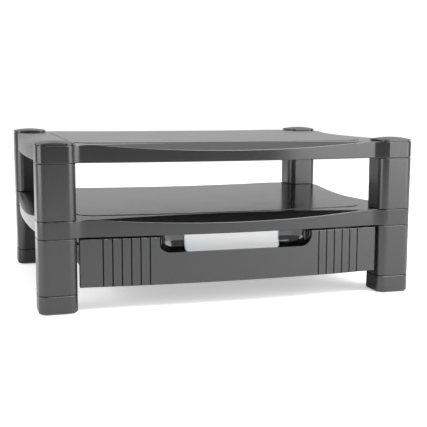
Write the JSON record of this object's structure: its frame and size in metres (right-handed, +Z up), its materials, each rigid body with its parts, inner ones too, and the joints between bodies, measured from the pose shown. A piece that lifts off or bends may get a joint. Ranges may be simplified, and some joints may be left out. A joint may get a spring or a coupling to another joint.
{
  "type": "monitor riser stand",
  "caption": "Two-tier monitor riser: two scooped platforms stacked on square corner posts, with a bowed, grooved drawer sliding under the lower platform.",
  "frame": {"origin": "on the table, under the middle of the stand: bottom centre of its box with the drawer closed", "axes": "+Z up; the drawer faces -Y and opens along -Y; +X is to the right of a person facing the drawer"},
  "size_m": [0.436, 0.343, 0.1831],
  "materials": {
    "platform_plastic": "near-black moulded plastic, semi-gloss, fine texture",
    "post_plastic": "near-black moulded plastic, semi-gloss, fine texture",
    "drawer_plastic": "near-black moulded plastic, semi-gloss, fine texture",
    "tray_plastic": "near-black moulded plastic, satin",
    "cup_plastic": "near-black plastic, glossy",
    "label_card": "blank pale plate, smooth",
    "rail_plastic": "dark slippery plastic, satin",
    "pad_rubber": "soft black rubber, fine ribs",
    "screw_steel": "zinc-plated pan-head screws"
  },
  "bodies": {
    "stand": {"upper_platform": "platform_plastic", "lower_platform": "platform_plastic", "foot_front_left": "post_plastic", "foot_pad_front_left": "pad_rubber", "lower_column_front_left": "post_plastic", "upper_column_front_left": "post_plastic", "top_cap_front_left": "post_plastic", "foot_front_right": "post_plastic", "foot_pad_front_right": "pad_rubber", "lower_column_front_right": "post_plastic", "upper_column_front_right": "post_plastic", "top_cap_front_right": "post_plastic", "foot_rear_left": "post_plastic", "foot_pad_rear_left": "pad_rubber", "lower_column_rear_left": "post_plastic", "upper_column_rear_left": "post_plastic", "top_cap_rear_left": "post_plastic", "foot_rear_right": "post_plastic", "foot_pad_rear_right": "pad_rubber", "lower_column_rear_right": "post_plastic", "upper_column_rear_right": "post_plastic", "top_cap_rear_right": "post_plastic", "drawer_rail_left": "rail_plastic", "drawer_rail_right": "rail_plastic", "rail_screws": "screw_steel"},
    "drawer": {"drawer_front": "drawer_plastic", "drawer_tray": "tray_plastic", "finger_cup": "cup_plastic", "label_plate": "label_card", "front_screws": "screw_steel"}
  },
  "joints": [
    {"name": "drawer_slide", "type": "slide", "parent": "stand", "child": "drawer", "axis": [0, -1, 0], "range_m": [0, 0.24]}
  ]
}
